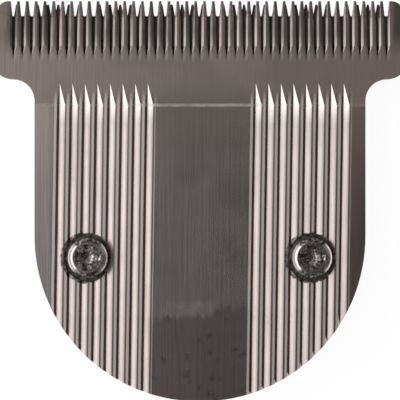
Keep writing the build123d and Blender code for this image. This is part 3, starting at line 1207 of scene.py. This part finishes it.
@dataclass
class CombBlade:
    """Fixed comb blade with slightly rubbed edges."""

    edge_width: float = 0.03 * MM
    edge_steps: int = 2

    def build(self, effects: SurfaceEffects) -> list[Piece]:
        """Rounds and dresses the blade.

        Args:
            effects: the shared node groups.

        Returns:
            The blade alone.
        """
        blade = Bench.rounded_copy("fixed_blade", "comb_blade", self.edge_width, self.edge_steps)
        hand_over(blade, "fixed_blade", Body.HEAD, COMB_STEEL.material(effects))
        return [blade]


@dataclass
class SlidingCutter:
    """Cutter and the moulded driver that carries it."""

    cutter_edge: float = 0.02 * MM
    cutter_steps: int = 2
    driver_edge: float = 0.12 * MM
    driver_steps: int = 3

    def build(self, effects: SurfaceEffects) -> list[Piece]:
        """Rounds and dresses both pieces.

        Args:
            effects: the shared node groups.

        Returns:
            The cutter and the driver.
        """
        cutter = Bench.rounded_copy("cutter_blade", "sliding_cutter", self.cutter_edge, self.cutter_steps)
        hand_over(cutter, "cutter_blade", Body.CUTTER, DARK_STEEL.material(effects))
        driver = Bench.rounded_copy("cutter_driver", "drive_carrier", self.driver_edge, self.driver_steps)
        hand_over(driver, "cutter_driver", Body.CUTTER, ACETAL.material(effects))
        return [cutter, driver]


@dataclass
class MouldedBase:
    """Moulded base and the leaf spring staked to it."""

    base_edge: float = 0.14 * MM
    spring_edge: float = 0.05 * MM
    edge_steps: int = 3

    def build(self, effects: SurfaceEffects) -> list[Piece]:
        """Rounds and dresses both pieces.

        Args:
            effects: the shared node groups.

        Returns:
            The base and the spring.
        """
        base = Bench.rounded_copy("blade_base", "base_moulding", self.base_edge, self.edge_steps)
        hand_over(base, "blade_base", Body.HEAD, BLACK_NYLON.material(effects))
        spring = Bench.rounded_copy("tension_spring", "leaf_spring", self.spring_edge, self.edge_steps)
        hand_over(spring, "tension_spring", Body.HEAD, SPRING_STEEL.material(effects))
        return [base, spring]


@dataclass
class FaceScrews:
    """The two pan-head screws, with cross recess and thread."""

    head_radius: float = SCREW_RADIUS
    top_z: float = SCREWS_HIGH.z
    end_z: float = SCREWS_LOW.z
    head_height: float = 1.5 * MM
    crown_width: float = 0.5 * MM
    crown_height: float = 0.38 * MM
    crown_radius: float = 1.2 * MM
    crown_steps: int = 8
    shank_overlap: float = 0.375 * MM
    end_chamfer: float = 0.26 * MM
    chamfer_steps: int = 2
    thread_radius: float = 1.0 * MM
    core_radius: float = 0.78 * MM
    thread_pitch: float = 0.7 * MM
    thread_corners: int = 4
    plain_length: float = 1.9 * MM
    recess_span: float = 2.6 * MM
    recess_width: float = 0.95 * MM
    recess_depth: float = 0.9 * MM
    recess_taper: float = math.radians(15)
    pit_radius: float = 0.5 * MM
    pit_depth: float = 0.18 * MM
    turns: Pair = (math.radians(-4), math.radians(3))
    sides: int = 64
    sharp_angle: float = math.radians(35)

    @property
    def seat_z(self) -> float:
        """Level of the head's seat on the blade."""
        return self.top_z - self.head_height

    def build(self, effects: SurfaceEffects) -> list[Piece]:
        """Models one screw, copies it and puts both in their places.

        Args:
            effects: the shared node groups.

        Returns:
            The left and the right screw.
        """
        finish = SCREW_STEEL.material(effects)
        left = self.screw()
        right = left.copy()
        right.data = left.data.copy()
        bpy.context.scene.collection.objects.link(right)
        names = ("face_screw_left", "face_screw_right")
        places = (-SCREW_HALF_SPACING, SCREW_HALF_SPACING)
        for piece, name, x, turn in zip((left, right), names, places, self.turns):
            piece.name = name
            piece.location.x = x
            piece.rotation_euler.z = turn
            Bench.settle(piece, self.sharp_angle)
            hand_over(piece, "face_screws", Body.HEAD, finish)
        return [left, right]

    def screw(self) -> Piece:
        """Models one screw on the Z axis.

        Returns:
            The screw.
        """
        piece = self.head()
        Bench.combine(piece, self.shank(), "UNION")
        for turn in (0.0, math.pi / 2):
            Bench.combine(piece, self.wing(turn), "DIFFERENCE")
        Bench.combine(piece, self.pit(), "DIFFERENCE")
        return piece

    def head(self) -> Piece:
        """Raises the head from a disc, step by step over its crowned edge.

        Returns:
            The head.
        """
        Bench.clear()
        bpy.ops.mesh.primitive_circle_add(
            vertices=self.sides, radius=self.head_radius, fill_type="NGON", location=(0, 0, self.seat_z)
        )
        piece = Bench.fix_place(bpy.context.active_object)
        Bench.open_merged(piece)
        radius = self.head_radius
        level = self.seat_z
        for new_radius, new_level in self.crown():
            bpy.ops.mesh.extrude_region_move(TRANSFORM_OT_translate={"value": (0, 0, new_level - level)})
            ratio = new_radius / radius
            bpy.ops.transform.resize(value=(ratio, ratio, 1), center_override=(0, 0, new_level))
            radius, level = new_radius, new_level
        Bench.take(piece)
        return piece

    def crown(self) -> list[Pair]:
        """Works out the head's outline above its seat.

        Returns:
            Radius and level of each step, from the rim to the flat top.
        """
        rim = Vector((self.head_radius, self.top_z - self.crown_height))
        flat = Vector((self.head_radius - self.crown_width, self.top_z))
        chord = flat - rim
        inward = Vector((-chord.y, chord.x)).normalized()
        depth = math.sqrt(self.crown_radius**2 - (chord.length / 2) ** 2)
        centre = (rim + flat) / 2 + inward * depth
        first = math.atan2(rim.y - centre.y, rim.x - centre.x)
        last = math.atan2(flat.y - centre.y, flat.x - centre.x)
        steps = []
        for i in range(self.crown_steps + 1):
            angle = first + (last - first) * i / self.crown_steps
            radius = centre.x + self.crown_radius * math.cos(angle)
            level = centre.y + self.crown_radius * math.sin(angle)
            steps.append((radius, level))
        return steps

    def shank(self) -> Piece:
        """Models the shank with its thread.

        Returns:
            The shank, which reaches a little into the head.
        """
        length = self.seat_z - self.end_z + self.shank_overlap
        Bench.clear()
        bpy.ops.mesh.primitive_cylinder_add(
            vertices=self.sides // 2,
            radius=self.core_radius,
            depth=length,
            location=(0, 0, self.end_z + length / 2),
        )
        core = Bench.fix_place(bpy.context.active_object)
        Bench.open_underside(core)
        bpy.ops.mesh.bevel(offset=self.end_chamfer, segments=self.chamfer_steps, affect="EDGES")
        Bench.take(core)
        Bench.combine(core, self.thread(), "UNION")
        return core

    def thread(self) -> Piece:
        """Winds a V profile round the core.

        Returns:
            The thread.
        """
        start_z = self.end_z + self.thread_pitch / 2
        Bench.clear()
        bpy.ops.mesh.primitive_circle_add(
            vertices=self.thread_corners, radius=self.thread_radius - self.core_radius, fill_type="NOTHING"
        )
        profile = bpy.context.active_object
        profile.rotation_euler.x = math.pi / 2
        profile.location = (self.core_radius, 0, start_z)
        Bench.fix_place(profile)
        step = profile.modifiers.new("wind", "SCREW")
        step.axis = "Z"
        step.screw_offset = self.thread_pitch
        step.iterations = int((self.seat_z - self.plain_length - start_z) / self.thread_pitch)
        step.steps = self.sides // 2
        step.render_steps = self.sides // 2
        bpy.ops.object.modifier_apply(modifier=step.name)
        Bench.open_merged(profile)
        bpy.ops.mesh.fill_holes(sides=self.thread_corners)
        bpy.ops.mesh.normals_make_consistent(inside=False)
        Bench.take(profile)
        return profile

    def wing(self, turn: float) -> Piece:
        """Models the tapered tool for one wing of the cross recess, which reaches as far above the head.

        Args:
            turn: how far the wing is turned about the axis.

        Returns:
            The tool.
        """
        Bench.clear()
        bpy.ops.mesh.primitive_cube_add(size=1)
        tool = bpy.context.active_object
        slant = 2 * self.recess_depth * math.tan(self.recess_taper)
        tool.scale = (self.recess_span + slant, self.recess_width + slant, 2 * self.recess_depth)
        tool.location.z = self.top_z
        tool.rotation_euler.z = turn
        Bench.fix_place(tool)
        Bench.open_underside(tool)
        foot = [(size - slant) / (size + slant) for size in (self.recess_span, self.recess_width)]
        if turn:
            foot.reverse()
        bpy.ops.transform.resize(value=(*foot, 1), center_override=(0, 0, self.top_z - self.recess_depth))
        Bench.take(tool)
        return tool

    def pit(self) -> Piece:
        """Models the tool for the pointed middle of the cross recess, half of it above the recess's foot.

        Returns:
            The tool.
        """
        Bench.clear()
        bpy.ops.mesh.primitive_cone_add(
            vertices=self.sides // 2,
            radius1=0,
            radius2=2 * self.pit_radius,
            depth=2 * self.pit_depth,
            location=(0, 0, self.top_z - self.recess_depth),
        )
        return Bench.fix_place(bpy.context.active_object)


@dataclass(frozen=True)
class SoftBox:
    """Square area lamp that faces a point and that neither camera nor gloss shows."""

    name: str
    place: tuple[float, float, float]
    size: float
    power: float

    def hang(self, target: Vector) -> None:
        """Hangs the lamp.

        Args:
            target: the point that it faces.
        """
        lamp = bpy.data.lights.new(self.name, "AREA")
        lamp.size = self.size
        lamp.energy = self.power
        holder = bpy.data.objects.new(self.name, lamp)
        bpy.context.scene.collection.objects.link(holder)
        holder.location = self.place
        holder.rotation_euler = (target - Vector(self.place)).to_track_quat("-Z", "Y").to_euler()
        holder.visible_camera = False
        holder.visible_glossy = False


@dataclass
class Studio:
    """Floor, lights, world and camera; the world's spans are parts of a direction, from -1 to 1."""

    view_width: float = 40.0 * MM
    view_centre_y: float = 5.76 * MM
    camera_distance: float = 250.0 * MM
    sensor_width: float = 36.0
    floor_size: float = 6.0
    floor_tint: Colour = (0.9, 0.895, 0.89)
    floor_gap: float = 0.02 * MM
    floor_glow: float = 0.93
    dim: Colour = (0.022, 0.021, 0.0205)
    side_glow: Colour = (0.1, 0.09, 0.086)
    side_x: Pair = (0.2, 0.6)
    back_glow: Colour = (0.21, 0.188, 0.182)
    back_y: Pair = (0.02, 0.3)
    front_glow: Colour = (0.17, 0.152, 0.147)
    front_y: Pair = (-0.7, -0.4)
    ends_glow: Colour = (0.28, 0.272, 0.268)
    ends_y: Pair = (0.4, 0.7)
    ends_top: Pair = (0.35, 0.6)
    window: Colour = (1.52, 1.565, 1.59)
    window_x: Pair = (-0.56, 0.0)
    window_sill: Pair = (0.21, 0.49)
    window_shares: Pair = (0.15, 1.0)
    wall: Colour = (1.0, 1.0, 1.0)
    wall_top: Pair = (0.04, 0.14)
    key: SoftBox = SoftBox("key_left", place=(-0.5, 0.02, 0.5), size=0.5, power=2.0)
    overhead: SoftBox = SoftBox("fill_overhead", place=(0.0, 0.0, 0.8), size=0.6, power=4.0)

    def build(self) -> None:
        """Sets up everything that isn't part of the object."""
        self.floor()
        self.world()
        for lamp in (self.key, self.overhead):
            lamp.hang(Vector((0, self.view_centre_y, FACE_Z)))
        self.camera()
        bpy.context.scene.view_settings.view_transform = "Standard"

    def floor(self) -> None:
        """Lays a large pale floor just under the seat; from below it can't be seen."""
        Bench.clear()
        bpy.ops.mesh.primitive_plane_add(size=self.floor_size, location=(0, 0, CAD_LOW.z - self.floor_gap))
        plane = bpy.context.active_object
        plane.name = "studio_floor"
        made = bpy.data.materials.new("studio_floor_paper")
        sheet = NodeSheet.empty(made)
        paper = sheet.fill(sheet.add("ShaderNodeBsdfDiffuse"), Color=(*self.floor_tint, 1.0))
        path = sheet.add("ShaderNodeLightPath").outputs
        seen = sheet.math("MAXIMUM", path["Is Camera Ray"], path["Is Glossy Ray"])
        seen = sheet.math("MAXIMUM", seen, path["Is Transmission Ray"])
        glow = sheet.math("MULTIPLY", seen, self.floor_glow)
        lit = sheet.mix_shaders(glow, paper, sheet.add("ShaderNodeEmission"))
        below = sheet.add("ShaderNodeNewGeometry").outputs["Backfacing"]
        shown = sheet.mix_shaders(below, lit, sheet.add("ShaderNodeBsdfTransparent"))
        sheet.fill(sheet.add("ShaderNodeOutputMaterial"), Surface=shown.outputs[0])
        plane.data.materials.append(made)

    def world(self) -> None:
        """Makes the surroundings: a dim room with glows, a wide window at the left and a low white wall."""
        world = bpy.data.worlds.new("studio_walls")
        bpy.context.scene.world = world
        sheet = NodeSheet.empty(world)
        x, y, z = sheet.axes(sheet.add("ShaderNodeTexCoord").outputs["Generated"])
        ends = sheet.remap(sheet.math("ABSOLUTE", y), *self.ends_y)
        pane = sheet.remap(z, *self.window_sill, *self.window_shares)
        layers = (
            (sheet.remap(x, *self.side_x), self.side_glow),
            (sheet.remap(y, *self.back_y), self.back_glow),
            (sheet.fall(y, *self.front_y), self.front_glow),
            (sheet.product(ends, sheet.fall(z, *self.ends_top)), self.ends_glow),
            (sheet.product(pane, sheet.fall(x, *self.window_x)), self.window),
            (sheet.fall(z, *self.wall_top), self.wall),
        )
        colour = self.dim
        for mask, tone in layers:
            colour = sheet.blend(mask, colour, tone)
        background = sheet.fill(sheet.add("ShaderNodeBackground"), Color=colour)
        sheet.fill(sheet.add("ShaderNodeOutputWorld"), Surface=background.outputs[0])

    def camera(self) -> None:
        """Puts the camera straight above the ground face."""
        lens = bpy.data.cameras.new("camera")
        lens.sensor_width = self.sensor_width
        lens.lens = self.sensor_width * self.camera_distance / self.view_width
        lens.clip_start = MM
        holder = bpy.data.objects.new("camera", lens)
        bpy.context.scene.collection.objects.link(holder)
        holder.location = (0, self.view_centre_y, FACE_Z + self.camera_distance)
        bpy.context.scene.camera = holder


def main() -> None:
    """Builds the pieces in order and reports each, then sets up the studio."""
    logging.basicConfig(level=logging.INFO, format="%(message)s")
    effects = SurfaceEffects()
    for assembly in (CombBlade(), SlidingCutter(), MouldedBase(), FaceScrews()):
        for piece in assembly.build(effects):
            LOG.info("%s is in place, with %d faces", piece.name, len(piece.data.polygons))
    Studio().build()


if __name__ == "__main__":
    main()
